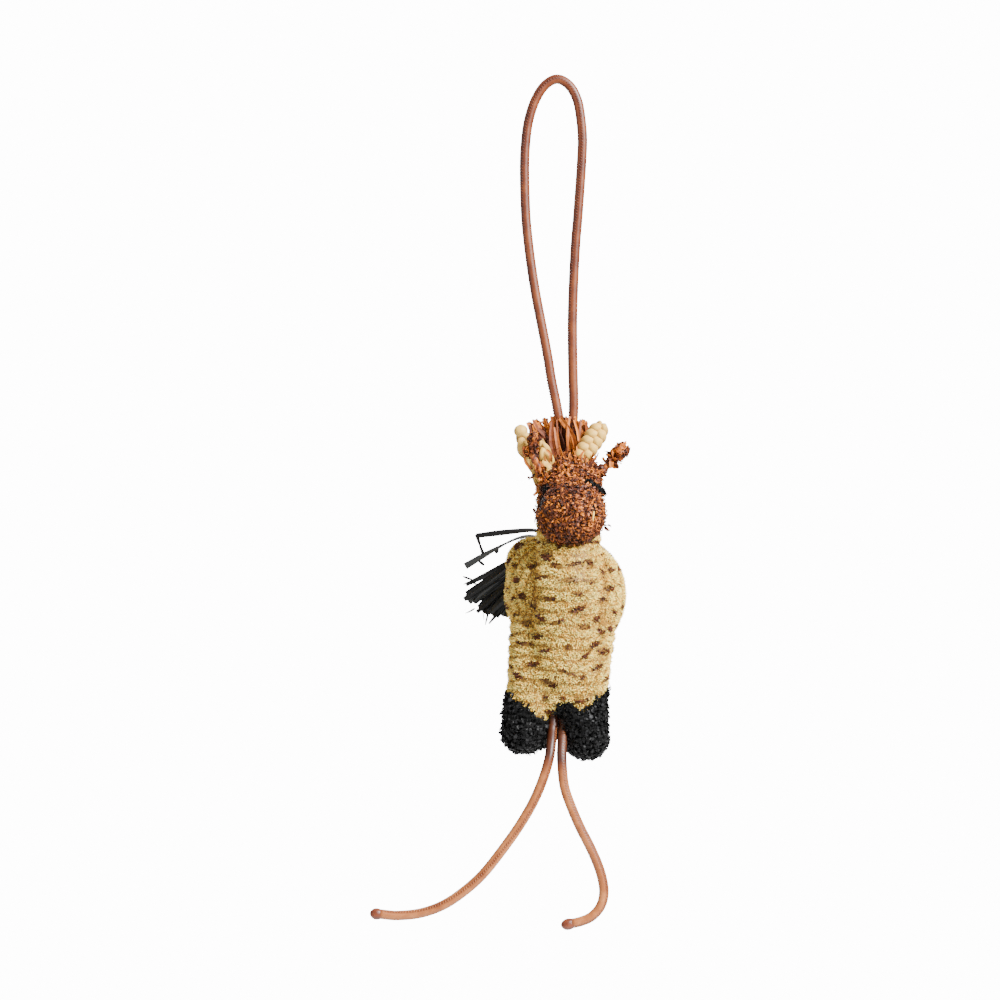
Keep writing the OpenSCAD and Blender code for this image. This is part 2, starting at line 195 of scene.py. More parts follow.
def piece(name, points, faces, finish, slot, body="goat", replaces=(), smooth=False, **values):
    """A mesh object in the row frame, with a value at each point for its finish to read."""
    mesh = bpy.data.meshes.new(name)
    mesh.from_pydata(np.asarray(points).tolist(), [], faces)
    mesh.update()
    for key, numbers in values.items():
        layer = mesh.attributes.new(key, "FLOAT", "POINT")
        layer.data.foreach_set("value", np.asarray(numbers, np.float32))
    if smooth:
        mesh.polygons.foreach_set("use_smooth", [True] * len(mesh.polygons))
    made = bpy.data.objects.new(name, mesh)
    bpy.context.scene.collection.objects.link(made)
    mesh.materials.append(finish.material)
    if body:
        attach(made, body)
    if replaces:
        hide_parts(*replaces)
    return made


floor_finish = Finish("pale_floor", 0.8)
floor_shades = [(0, (0.8, 0.8, 0.8)), (1, (0.84, 0.84, 0.84))]
floor_finish.colour(floor_finish.ramp(floor_finish.noise(3), floor_shades))
FLOOR_DROP = 110 * MM
FLOOR_R = 300 * MM
ring_points = [(FLOOR_R * math.cos(a), FLOOR_R * math.sin(a), low.z - FLOOR_DROP)
               for a in np.linspace(0, 2 * math.pi, 64, endpoint=False)]
floor = piece("floor", ring_points, [list(range(64))], floor_finish, None, body=None)

# ---- Leather cord ------------------------------------------------------------------------
# One length of thin leather, folded round a cord core and whip-stitched shut along one side. It is
# doubled into the loop, runs down inside the animal, and comes out between the front hooves.
CORD_D = 4 * MM
# The routes run along the middle of the cord, in millimetres.
LOOP_ROUTE = [(1.7, 0, -140.4), (0.8, 0, -137), (-0.6, 0, -129.6), (-2.3, 0, -121.4), (-3.6, 0, -113.2),
              (-5.1, 0, -105), (-6.7, 0, -96.8), (-8.3, 0, -88.6), (-9.7, 0, -80.4), (-10.9, 0, -72.2),
              (-11.9, 0, -64), (-12.7, 0, -55.8), (-13.1, 0, -47.6), (-13.3, 0, -39.4),
              (-13.3, 0, -31.2), (-12.8, 0, -23), (-11.6, 0, -14.8), (-8.9, 0, -6.6), (-5, 0, -0.6),
              (0, 0, 2), (5, 0, -0.6), (8.3, 0, -6.6), (9.8, 0, -14.8), (10.4, 0, -23),
              (10.1, 0, -31.2), (9.6, 0, -39.4), (9, 0, -47.6), (8.4, 0, -55.8), (7.7, 0, -64),
              (7.2, 0, -72.2), (6.8, 0, -80.4), (6.5, 0, -88.6), (6.3, 0, -96.8), (6.3, 0, -105),
              (6.4, 0, -113.2), (6.6, 0, -121.4), (6.8, 0, -129.6), (6.6, 0, -137), (6.2, 0, -140.4)]
RIGHT_END_ROUTE = [(-1.8, -13.7, -261.8), (-2.2, -14.8, -264.4), (-2.6, -18, -269),
                   (-3.6, -20.6, -275.6), (-6.4, -21.6, -284.6), (-10.4, -22, -293.6),
                   (-16, -22, -303), (-23, -22, -312.8), (-30.4, -22, -322), (-38.2, -22, -329),
                   (-46.4, -22, -334.4), (-55.4, -22, -337.6), (-64.8, -22, -338.6), (-72, -22, -338)]
LEFT_END_ROUTE = [(2.6, -13.7, -261.8), (2.2, -14.8, -264.4), (1.8, -18, -269), (1.6, -20.6, -275.6),
                  (2.6, -21.6, -286.2), (5.4, -22, -294.6), (9, -22, -303), (12.8, -22, -310.4),
                  (16, -22, -317.6), (18, -22, -324), (18.6, -22, -329.8), (17.2, -22, -335),
                  (13.4, -22, -339.2), (8.6, -22, -341.2), (5.6, -22, -341.8)]
STRAND_TOP = [(1.8, 0, -141.6), (6, 0, -141.6)]
STRAND_FOOT = [(-1.8, -13, -259), (2.6, -13, -259)]


def unit(v):
    return v / np.maximum(np.linalg.norm(v, axis=-1, keepdims=True), 1e-12)


def smooth_path(points, step):
    """A curve through the points with a point about every step along it."""
    p = np.array(points, float)
    p = np.vstack([2 * p[0] - p[1], p, 2 * p[-1] - p[-2]])
    out = []
    for a, b, c, d in zip(p, p[1:], p[2:], p[3:]):
        count = max(1, round(np.linalg.norm(c - b) / step))
        for t in np.arange(count) / count:
            out.append(0.5 * (2 * b + (c - a) * t + (2 * a - 5 * b + 4 * c - d) * t * t
                              + (3 * b - a - 3 * c + d) * t ** 3))
    return np.array(out + [p[-2]])


def path_frames(path, side=(0, 1, 0)):
    """Heading, and two directions across it, at every point of a path."""
    along = unit(np.gradient(path, axis=0))
    out = np.array(side, float) - along * (along @ np.array(side, float))[:, None]
    out = unit(out)
    return along, np.cross(along, out), out


def ring_faces(rings, sides):
    """The four-sided faces between rings of points that follow one another."""
    faces = []
    for i in range(rings - 1):
        for k in range(sides):
            near, far = i * sides, (i + 1) * sides
            faces.append([near + k, near + (k + 1) % sides, far + (k + 1) % sides, far + k])
    return faces


def tube(path, radius, sides, side=(0, 1, 0), flat=1.0, caps=True):
    """Points, faces and the angle round the tube. radius is one number or one for each ring."""
    along, across, out = path_frames(path, side)
    radius = np.broadcast_to(radius, len(path))
    angle = np.linspace(0, 2 * math.pi, sides, endpoint=False)
    ring = (np.cos(angle)[None, :, None] * across[:, None]
            + flat * np.sin(angle)[None, :, None] * out[:, None])
    points = path[:, None] + radius[:, None, None] * ring
    n = len(path)
    faces = ring_faces(n, sides)
    if caps:
        faces += [list(range(sides))[::-1], [(n - 1) * sides + k for k in range(sides)]]
    return points.reshape(-1, 3), faces, np.tile(angle, n)


def join(parts):
    """Several (points, faces, ...) shapes as one, any further values joined end to end."""
    points, faces, rest, at = [], [], [[] for _ in parts[0][2:]], 0
    for part in parts:
        points.append(part[0])
        faces += [[i + at for i in face] for face in part[1]]
        for bucket, more in zip(rest, part[2:]):
            bucket.append(more)
        at += len(part[0])
    return (np.vstack(points), faces, *[np.concatenate(bucket) for bucket in rest])


def leather(name, dark, mid, light):
    made = Finish(name, 0.42, Specular_IOR_Level=0.4, Coat_Weight=0.1, Coat_Roughness=0.35)
    patches = made.noise(190, 4)
    base = made.ramp(patches, [(0.3, dark), (0.52, mid), (0.75, light)])
    # The top seam value gives a painted shadow colour, for the cord where it comes out between the front
    # hooves.
    clean, seam_shade_colour, painted_shadow = (1, 1, 1), (0.42, 0.3, 0.22), (0.15, 0.1, 0.07)
    # Seam values up to 0.75 give painted shade, in the cord's pinched seam and in the folds of its
    # drawn-in tips.
    seam = made.ramp(made.value("seam"), [(0.0, clean), (0.75, seam_shade_colour), (1.0, painted_shadow)])
    made.colour(made.mix(1.0, base, seam, "MULTIPLY"))
    grain = made.node("ShaderNodeTexVoronoi", Scale=2600.0)
    made.link(made.place(), grain.inputs["Vector"])
    made.bump(grain.outputs["Distance"], 0.00012, 0.35)
    made.roughness(patches, 0.36, 0.56)
    return made


loop_leather = leather("loop_leather", (0.082, 0.0135, 0.0015), (0.132, 0.0255, 0.0022),
                       (0.19, 0.045, 0.005))
end_leather = leather("end_leather", (0.21, 0.052, 0.009), (0.32, 0.096, 0.02), (0.44, 0.157, 0.043))
tip_leather = leather("tip_leather", (0.1, 0.017, 0.002), (0.16, 0.03, 0.005), (0.22, 0.048, 0.01))
STITCH_GAP = 1.15 * MM
STITCH_GIRTH = np.array([0.1, 0.2, 0.22, 0.2, 0.1]) * MM
SEAM_SHADE = 0.75


def seam_turn(path, start, finish):
    """The seam winds slowly round the cord, from one angle to another."""
    return np.linspace(start, finish, len(path))


def cord_mesh(path, seam):
    """A round cord that is slightly pinched in along its seam, with painted shade in the pinch."""
    sides = 20
    points, faces, angle = tube(path, CORD_D / 2, sides)
    centre = np.repeat(path, sides, axis=0)
    off = np.abs((angle - np.repeat(seam, sides) + math.pi) % (2 * math.pi) - math.pi)
    pinch = np.exp(-(off / 0.3) ** 2)
    points = centre + (points - centre) * (1 - 0.06 * pinch)[:, None]
    return points, faces, SEAM_SHADE * pinch


def seam_stitches(path, seam):
    """Small slanted whip stitches that cross the seam, one after another."""
    along, across, out = path_frames(path)
    run = np.concatenate([[0], np.cumsum(np.linalg.norm(np.diff(path, axis=0), axis=1))])
    parts = []
    for s in np.arange(STITCH_GAP, run[-1] - STITCH_GAP, STITCH_GAP):
        at = [np.interp(s, run, column) for column in (*path.T, *along.T, *across.T, *out.T, seam)]
        centre, ahead, side, front, turn = (np.array(at[0:3]), np.array(at[3:6]), np.array(at[6:9]),
                                            np.array(at[9:12]), at[12])
        arc = []
        for t in np.linspace(-1, 1, 5):
            a = turn + 0.3 * t
            reach = CORD_D / 2 * (0.94 + 0.03 * (1 - t * t))
            outward = math.cos(a) * side + math.sin(a) * front
            arc.append(centre + reach * outward + 0.3 * MM * t * ahead)
        parts.append(tube(np.array(arc), STITCH_GIRTH, 5, side=tuple(ahead))[:2])
    return join(parts)


def make_cord(name, route, body, finish, nodes, turn, shadow_reach=0):
    """The first stretch of the cord, as long as the last argument says, is darkened with painted shadow
    where it comes out between the front hooves.
    """
    path = smooth_path(np.array(route) * MM, 1.6 * MM)
    seam = seam_turn(path, *turn)
    points, faces, dark = cord_mesh(path, seam)
    # Painted shadow darkens the cord's first stretch, between the front hooves.
    if shadow_reach:
        painted_shadow = np.clip(2.6 - 2.6 * np.linalg.norm(points - path[0], axis=1) / shadow_reach, 0, 1)
        dark = np.maximum(dark, painted_shadow)
    cord = piece(name, points, faces, finish, "leather_cord", body, nodes, smooth=True, seam=dark)
    points, faces = seam_stitches(path, seam)
    stitches = piece(name + "_stitches", points, faces, finish, "leather_cord", body, smooth=True,
                     seam=np.full(len(points), 0.22))


def make_tip(name, route, node, body):
    """The leather is drawn in round the end of the cord and stitched shut."""
    lo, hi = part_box(node)
    end = np.array(route[-1]) * MM
    way = unit(end - np.array(route[-2]) * MM)
    tip_length = (hi - lo).x * 1.25
    share = np.array([-0.12, 0, 0.12, 0.3, 0.5, 0.7, 0.84, 0.94, 1.0])
    girth = np.array([0.97, 1.04, 1.12, 1.17, 1.14, 0.98, 0.74, 0.46, 0.12]) * CORD_D / 2
    points, faces, angle = tube(end + share[:, None] * tip_length * way, girth, 20)
    folds = 1 + 0.035 * np.cos(5 * angle)
    centre = np.repeat(end + share[:, None] * tip_length * way, 20, axis=0)
    points = centre + (points - centre) * folds[:, None]
    # The hollows between the tip's folds are painted darker, as painted shade.
    return piece(name, points, faces, tip_leather, "leather_tip", body, [node], smooth=True,
                 seam=0.25 - 0.25 * np.cos(5 * angle))


make_cord("hanging_loop", LOOP_ROUTE, "loop", loop_leather, ["cord_loop"], (0.15, -2.9))
right_tip = make_tip("right_cord_tip", RIGHT_END_ROUTE, "cord_tip_right", "end_right")
left_tip = make_tip("left_cord_tip", LEFT_END_ROUTE, "cord_tip_left", "end_left")
make_cord("right_cord_end", RIGHT_END_ROUTE, "end_right", end_leather, ["cord_end_right"], (-0.5, -2.6),
          shadow_reach=24 * MM)
make_cord("left_cord_end", LEFT_END_ROUTE, "end_left", end_leather, ["cord_end_left"], (-1.3, -0.7),
          shadow_reach=26 * MM)

# The leather bends where each strand goes into the forelock and where it comes out below.
BEND_R = CORD_D / 2 + 0.06 * MM
BENDS = (("crown_bend", "loop", loop_leather,
          [(LOOP_ROUTE[0], STRAND_TOP[0]), (LOOP_ROUTE[-1], STRAND_TOP[1])]),
         ("right_foot_bend", "end_right", end_leather, [(RIGHT_END_ROUTE[0], STRAND_FOOT[0])]),
         ("left_foot_bend", "end_left", end_leather, [(LEFT_END_ROUTE[0], STRAND_FOOT[1])]))
for name, body, finish, spots in BENDS:
    parts = []
    for outside, inside in spots:
        a, b = np.array(outside) * MM, np.array(inside) * MM
        way = unit(b - a)
        path = [a - way * MM * k for k in (1.4, 0.7, 0)] + [b + way * MM * k for k in (0, 0.7, 1.4)]
        parts.append(tube(np.array(path), BEND_R, 20)[:2])
    points, faces = join(parts)
    # The bends at the feet get the full painted shadow of the cord between the hooves; the crown bend is
    # only a little darker.
    bend = piece(name, points, faces, finish, "leather_cord", None, smooth=True,
                 seam=np.full(len(points), 0.2 if body == "loop" else 1.0))
    reach = unit(np.array(spots[0][1], float) - np.array(spots[0][0], float)) * 1.4 * MM
    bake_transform(bend)

# ---- Body pile ---------------------------------------------------------------------------
# The straw body is covered all over with short cut raffia, sewn on in courses that ring the trunk
# and run level across the chest and legs. Brown tufts are worked in among the cream ones, and the
# hooves are the same pile dyed black.
PILE_STAND = 1.1 * MM


def raffia(name, dark, mid, light, root, fleck=None, roughness=0.55, patchy=0.0, shine=0.3):
    """Cut raffia: a shade of its own for each tuft, painted darker down at the root as painted shade, in
    uneven patches.
    """
    made = Finish(name, roughness, Specular_IOR_Level=shine, Sheen_Weight=shine * 0.25)
    streaks = made.noise(900, 2)
    shade = made.node("ShaderNodeMath", operation="MULTIPLY_ADD")
    shade.inputs[1].default_value = 0.35
    made.link(streaks, shade.inputs[0])
    made.link(made.value("shade"), shade.inputs[2])
    patches = made.node("ShaderNodeMath", operation="MULTIPLY_ADD")
    patches.inputs[1].default_value = patchy
    made.link(made.noise(150, 3), patches.inputs[0])
    made.link(shade.outputs[0], patches.inputs[2])
    stops = [(0.12 + patchy / 2, dark), (0.55 + patchy / 2, mid), (1.0, light)]
    base = made.ramp(patches.outputs[0], stops)
    if fleck:
        brown = made.ramp(shade.outputs[0], [(0.15, fleck[0]), (1.0, fleck[1])])
        base = made.mix(made.value("fleck"), base, brown)
    # The tip value blends towards the root colour as it falls: painted shade at the roots of the fibres,
    # and in the folds and grooves where pieces set it low.
    depth = made.ramp(made.value("tip"), [(0.0, root), (0.7, (1, 1, 1))])
    made.colour(made.mix(1.0, base, depth, "MULTIPLY"))
    made.bump(streaks, 0.0002, 0.4)
    return made


RUST = ((0.014, 0.003, 0.001), (0.13, 0.026, 0.003))
cream_raffia = raffia("cream_raffia", (0.26, 0.09, 0.006), (1.0, 0.57, 0.055), (1.0, 0.84, 0.22),
                      (0.06, 0.024, 0.004), RUST, patchy=0.4)
brown_raffia = raffia("brown_raffia", (0.012, 0.002, 0.001), (0.165, 0.03, 0.001), (0.58, 0.16, 0.008),
                      (0.14, 0.06, 0.02))
black_raffia = raffia("black_raffia", (0.0005, 0.0005, 0.0006), (0.001, 0.001, 0.0011),
                      (0.012, 0.012, 0.013), (0.2, 0.2, 0.2), roughness=0.5, shine=0.16)


def solid_form(balls, voxel, rounds):
    """One smooth closed form round a list of (centre, radius), as points and triangles."""
    mesh = bmesh.new()
    for centre, radius in balls:
        ball = bmesh.ops.create_icosphere(mesh, subdivisions=3, radius=radius)
        bmesh.ops.translate(mesh, verts=ball["verts"], vec=centre)
    data = bpy.data.meshes.new("form")
    mesh.to_mesh(data)
    mesh.free()
    lump = bpy.data.objects.new("form", data)
    bpy.context.scene.collection.objects.link(lump)
    remesh = lump.modifiers.new("remesh", "REMESH")
    remesh.mode = "VOXEL"
    remesh.voxel_size = voxel
    soften = lump.modifiers.new("soften", "SMOOTH")
    soften.iterations = rounds
    soften.factor = 0.6
    done = lump.evaluated_get(bpy.context.evaluated_depsgraph_get()).to_mesh()
    done.calc_loop_triangles()
    points = np.array([v.co for v in done.vertices])
    faces = np.array([t.vertices for t in done.loop_triangles])
    bpy.data.objects.remove(lump)
    return points, faces


def between(p, q, rp, rq, count):
    """Balls along a line whose radius changes evenly."""
    return [(Vector(p).lerp(Vector(q), t), rp + (rq - rp) * t) for t in np.linspace(0, 1, count)]


def scatter(rng, points, faces, density):
    """Places on a form, with the way out at each."""
    a, b, c = (points[faces[:, k]] for k in range(3))
    cross = np.cross(b - a, c - a)
    area = np.linalg.norm(cross, axis=1) / 2
    count = int(area.sum() * density)
    pick = rng.choice(len(faces), count, p=area / area.sum())
    r, s = np.sqrt(rng.random(count)), rng.random(count)
    spots = a[pick] * (1 - r)[:, None] + b[pick] * (r * (1 - s))[:, None] + c[pick] * (r * s)[:, None]
    return spots, unit(cross[pick])


def tufts(rng, spots, ways, length, width, lean, sink, shade):
    """A short cut fibre at each place: a thin spike that stands the way it is told, but for some
    lean of its own."""
    n = len(spots)
    ways = unit(ways + lean * rng.normal(size=(n, 3)))
    across = unit(np.cross(ways, unit(rng.normal(size=(n, 3)))))
    over = np.cross(ways, across)
    length = length * rng.uniform(0.7, 1.2, n)
    width = width * rng.uniform(0.7, 1.3, n)
    angle = np.linspace(0, 2 * math.pi, 3, endpoint=False)
    rim = (np.cos(angle)[None, :, None] * across[:, None]
           + 0.5 * np.sin(angle)[None, :, None] * over[:, None])
    root = (spots - ways * sink)[:, None] + rim * width[:, None, None] / 2
    tip = (spots + ways * length[:, None])[:, None]
    points = np.concatenate([root, tip], axis=1).reshape(-1, 3)
    base = np.arange(n)[:, None] * 4
    faces = np.concatenate([base + np.array([k, (k + 1) % 3, 3]) for k in range(3)])
    return points, faces.tolist(), np.repeat(shade, 4), np.tile([0.0, 0.0, 0.0, 1.0], n)


def curls(rng, spots, ways, length, width, turn, shade):
    """Short ribbon ends that rise from each place and bend over sideways."""
    n = len(spots)
    ways = unit(ways + 0.45 * rng.normal(size=(n, 3)))
    side = unit(np.cross(ways, unit(rng.normal(size=(n, 3)))))
    face = np.cross(ways, side)
    length = (length * rng.uniform(0.7, 1.3, n))[:, None]
    width = (width * rng.uniform(0.6, 1.4, n))[:, None]
    rings = []
    for t in (0, 0.4, 0.75, 1.0):
        bend = turn * t
        centre = spots + length * (ways * (math.sin(bend) / turn) + side * ((1 - math.cos(bend)) / turn))
        half = width * (0.5 if t < 0.9 else 0.2)
        rings += [centre - face * half, centre + face * half + ways * width * 0.12]
    points = np.stack(rings, axis=1).reshape(-1, 3)
    base = np.arange(n)[:, None] * 8
    faces = np.concatenate([base + np.array([k, k + 1, k + 3, k + 2]) for k in (0, 2, 4)])
    return points, faces.tolist(), np.repeat(shade, 8), np.tile(np.repeat([0.1, 0.5, 0.8, 1.0], 2), n)


def mid(node):
    lo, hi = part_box(node)
    return (lo + hi) / 2


trunk_lo, trunk_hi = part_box("trunk_pile")
TRUNK_R = (trunk_hi.z - trunk_lo.z) / 2 - PILE_STAND + 0.7 * MM
trunk_mid = mid("trunk_pile")
YAW = math.radians(3)
trunk_way = Vector((math.sin(YAW), -math.cos(YAW), 0))
END_R = TRUNK_R * 0.78
trunk_reach = (trunk_hi.y - trunk_lo.y) / 2 - PILE_STAND - END_R
trunk_balls = []
for along in np.linspace(-1, 1, 7):
    full = TRUNK_R * (1 - 0.22 * abs(along) ** 2.4)
    trunk_balls.append((trunk_mid + trunk_way * along * trunk_reach, full))
# The trunk is fuller at the top of its right side.
SHOULDER_R = 10.2 * MM
trunk_balls += between(Vector((-10.2, 1, -196.8)) * MM, Vector((-10.2, 16, -196.8)) * MM,
                       SHOULDER_R, SHOULDER_R, 4)
# The rump rises to a dock round the peg that the tail turns on.
trunk_balls += between(Vector((-2, 14, -200)) * MM, Vector((-4, 25.2, -191.6)) * MM,
                       12 * MM, 7.2 * MM, 4)
# The chest's parts, in millimetres: neck, nape, breast, both flanks, belly and crotch. Each runs
# from one ball to another.
CHEST = (((5.4, -6, -175), 10.4, (4.6, -13, -203), 14.6, 7),
         ((2.2, -4.2, -171), 10.4, (1.8, -6, -186), 10, 4),
         ((4.4, -15, -206), 14.4, (2.4, -14, -236), 13, 6),
         ((-9, -9, -224), 9.4, (-9.6, -12, -242), 9.4, 4),
         ((12, -9, -224), 10, (11.4, -12, -242), 9.4, 4),
         ((-3.6, -14, -240), 9.6, (4.6, -14, -240), 9.6, 3),
         ((-1.6, -13, -250), 7.2, (2, -13, -250), 7.2, 2))
neck_balls = [ball for p, rp, q, rq, count in CHEST
              for ball in between(Vector(p) * MM, Vector(q) * MM, rp * MM, rq * MM, count)]
LEG_R = 9.4 * MM
# Each leg swells into a shoulder or a haunch on the side of the trunk: its place and radius, in
# millimetres.
HIPS = {"front_left": (15.6, -4, -214, 9.4), "front_right": (-9.4, -4, -216, 9),
        "hind_left": (15.6, 13, -214, 10), "hind_right": (-8.8, 13, -214, 9.8)}
# The front hooves stand a little apart round the cord ends, and the hind ones close the gap behind:
# each hoof's x and radius, in millimetres.
FEET = {"front_left": (11.6, 8.3), "front_right": (-13.4, 8.5),
        "hind_left": (9.6, 9.2), "hind_right": (-8.8, 9.2)}
LEGS = {}
for leg, (x, y, z, r) in HIPS.items():
    hoof_lo, hoof_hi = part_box(leg + "_hoof")
    core_lo, core_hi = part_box(leg + "_leg_core")
    foot_x, foot_r = (n * MM for n in FEET[leg])
    foot = Vector((foot_x, (hoof_lo.y + hoof_hi.y) / 2, hoof_lo.z + PILE_STAND + foot_r))
    knee = Vector(((core_lo.x + core_hi.x) * 0.48, foot.y, -242 * MM))
    thigh = between(Vector((x, y, z)) * MM, knee, r * MM, LEG_R, 7)
    LEGS[leg] = thigh + between(knee, foot, LEG_R, foot_r, 6)
leg_balls = [ball for balls in LEGS.values() for ball in balls]
form = solid_form(trunk_balls + neck_balls + leg_balls, 1.2 * MM, 8)


def near(spots, balls):
    """How far each place is outside the nearest ball of a group."""
    return np.min([np.linalg.norm(spots - np.array(c), axis=1) - r for c, r in balls], axis=0)


PART_NODES = {"trunk_pelt": ["trunk_pile"], "chest_pelt": ["neck_pile"]}
PART_BALLS = {"trunk_pelt": trunk_balls, "chest_pelt": neck_balls}
for leg, balls in LEGS.items():
    PART_NODES[leg + "_leg_pelt"] = [leg + "_leg_pile"]
    PART_BALLS[leg + "_leg_pelt"] = balls


def part_of(spots):
    """The name of the part that each place belongs to. Black pile starts below a ragged line that
    leans down towards the slit on the right, and dips round a cream tongue on the left."""
    names = list(PART_BALLS)
    names_at = np.argmin([near(spots, PART_BALLS[name]) for name in names], axis=0)
    out = np.array(names, dtype=object)[names_at]
    x = spots[:, 0] / MM
    right_top = -255.6 - 0.75 * (x + 11.6)
    left_top = -253.4 - 3.4 * np.exp(-((x - 10.4) / 3) ** 2) + 0.5 * np.maximum(0, x - 11)
    ragged = 0.7 * np.sin(spots[:, 0] * 2100) * np.sin(spots[:, 1] * 1700)
    black = spots[:, 2] / MM < np.where(x < -0.7, right_top, left_top) + ragged
    nearest = np.argmin([near(spots, balls) for balls in LEGS.values()], axis=0)
    for k, leg in enumerate(LEGS):
        out[(nearest == k) & black] = leg + "_hoof_pile"
    return out


COURSE = 4.7 * MM


def course_wave(spots, part):
    """From 0 in the groove between two courses of pile to 1 on top of a course."""
    level = spots[:, 2] + 0.8 * MM * np.sin(spots[:, 0] * 160)
    centre = np.array(trunk_mid)
    ring = np.linalg.norm((spots - centre)[:, [0, 2]], axis=1) + 0.35 * (spots - centre)[:, 1]
    where = np.where(part == "trunk_pelt", ring, level)
    return np.abs(np.sin(math.pi * where / COURSE))


FLECK_GAP = 6.2 * MM


def fleck_hits(rng, spots, density):
    """Which places fall in a brown fleck: a short ragged dash that lies about level."""
    hit = np.zeros(len(spots), bool)
    centres = []
    for centre in scatter(rng, *form, density)[0]:
        if min((np.linalg.norm(centre - other) for other in centres), default=1) > FLECK_GAP:
            centres.append(centre)
    for centre in centres:
        long, short = rng.uniform(1.5, 4.6) * MM, rng.uniform(0.8, 1.6) * MM
        slope = rng.normal() * 0.25
        d = spots - centre
        level = np.hypot(d[:, 0], d[:, 1]) * np.sign(d[:, 0])
        rise = d[:, 2] - slope * level
        ragged = 0.55 + 0.8 * rng.random(len(spots))
        hit |= (level / long) ** 2 + (rise / short) ** 2 < ragged
    return hit


TUFTS_PER_M2 = 4.6e6
FLECK_TRIES_PER_M2 = 90000
CHEST_FOOT = -232 * MM
rng = np.random.default_rng(12)
spots, ways = scatter(rng, *form, TUFTS_PER_M2)
part = part_of(spots)
wave = course_wave(spots, part)
# The pile is short in the fold between the chest and the trunk, and painted darker there as painted
# shade.
chest_nearer = near(spots, neck_balls) - near(spots, trunk_balls)
fold = np.exp(-(chest_nearer / (1.6 * MM)) ** 2) * (spots[:, 2] > CHEST_FOOT)
flecked = fleck_hits(rng, spots, FLECK_TRIES_PER_M2)
face_part = part_of(form[0][form[1]].mean(axis=1))
for name in sorted(set(part)):
    mine = part == name
    hoof = name.endswith("hoof_pile")
    if hoof:
        shape = join([curls(rng, spots[mine][::3], ways[mine][::3], 2.9 * MM, 1.1 * MM, 2.2,
                            rng.random(len(spots[mine][::3])) ** 4),
                      tufts(rng, spots[mine], ways[mine], 2.1 * MM, 0.8 * MM, 0.6, 0.7 * MM,
                            rng.random(mine.sum()) ** 4)])
    else:
        stand = (0.35 + 1.15 * wave[mine] * (1 - 0.6 * fold[mine])) * MM
        # Tufts are painted darker in the grooves between courses, as painted shade, over a tone of their
        # own that differs at random.
        shade = np.clip(0.9 * rng.random(mine.sum()) + 0.3 * wave[mine] - 0.1 - 0.4 * fold[mine], 0, 1)
        shape = tufts(rng, spots[mine], ways[mine], stand, 0.95 * MM, 0.65, 0.8 * MM, shade)
    fleck = np.repeat(flecked[mine].astype(float), 4) if not hoof else np.zeros(len(shape[0]))
    own = form[1][face_part == name]
    used, packed = np.unique(own, return_inverse=True)
    # The form under the tufts is painted dark, as painted shade in the gaps between them.
    ground_tip = 0.35 if hoof else 0.12
    ground = (form[0][used], packed.reshape(-1, 3).tolist(), np.full(len(used), 0.3),
              np.full(len(used), ground_tip), np.zeros(len(used)))
    shape = join([shape + (fleck,), ground])
    nodes = [name.replace("_hoof_pile", "_hoof")] if hoof else PART_NODES[name]
    pelt = piece(name, shape[0], shape[1], black_raffia if hoof else cream_raffia,
                 "black_raffia" if hoof else "cream_raffia", "goat", nodes,
                 shade=shape[2], tip=shape[3], fleck=shape[4])

# ---- Head pile ---------------------------------------------------------------------------
# The head is stuffed straw covered with finer, darker cut raffia, with a round muzzle. A dark spot
# marks the nostril.
head_lo, head_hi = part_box("head_pile")
# Each eye's two ends and its half thickness, in millimetres.
EYES = {"left": ((12.5, -19.6, -163.1), (19.0, -16.2, -168.2), 2.0),
        "right": ((-4.6, -18.6, -165.4), (-5.0, -22.2, -171.4), 1.6)}
HEAD_R = 13 * MM
HEAD_FLUFF = 0.3 * MM
skull = Vector((5 * MM, head_hi.y - HEAD_R, head_hi.z - HEAD_R))
muzzle = Vector((6.2 * MM, head_lo.y + HEAD_R, head_lo.z + HEAD_R))
muzzle += Vector((-0.8, 0, 0.9)) * MM
head_balls = [(skull, HEAD_R + HEAD_FLUFF - 0.6 * MM), (muzzle, HEAD_R + HEAD_FLUFF),
              (skull.lerp(muzzle, 0.5) + Vector((0, 2.5, 0)) * MM, HEAD_R + HEAD_FLUFF - 1 * MM)]
head_form = solid_form(head_balls, 1.0 * MM, 3)
HEAD_TUFTS_PER_M2 = 7e6
rng = np.random.default_rng(21)
spots, ways = scatter(rng, *head_form, HEAD_TUFTS_PER_M2)
nostril = np.array((14.6, -28.6, -173.2)) * MM
# Painted shade darkens a band across the front at eye level, where the skull meets the muzzle, and the
# underside of the head.
brow_crease_shade = np.exp(-((spots[:, 2] / MM + 166.5) / 1.3) ** 2) * (spots[:, 1] < -9 * MM)
underside_shade = np.clip((-178 * MM - spots[:, 2]) / (9 * MM), 0, 1)
hole = np.linalg.norm(spots - nostril, axis=1) < 1.9 * MM
for p, q, girth in EYES.values():
    p, q = np.array(p) * MM, np.array(q) * MM
    t = np.clip((spots - p) @ (q - p) / ((q - p) @ (q - p)), 0, 1)
    hole |= np.linalg.norm(spots - p - t[:, None] * (q - p), axis=1) < (girth + 1.7) * MM
shade = np.where(hole, 0, rng.random(len(spots)) ** 1.5 * (1 - 0.6 * brow_crease_shade) * (1 - 0.35 * underside_shade))
stand = np.where(hole, 0.1, 1.3 - 0.8 * brow_crease_shade) * MM
curled = np.flatnonzero(~hole)[::4]
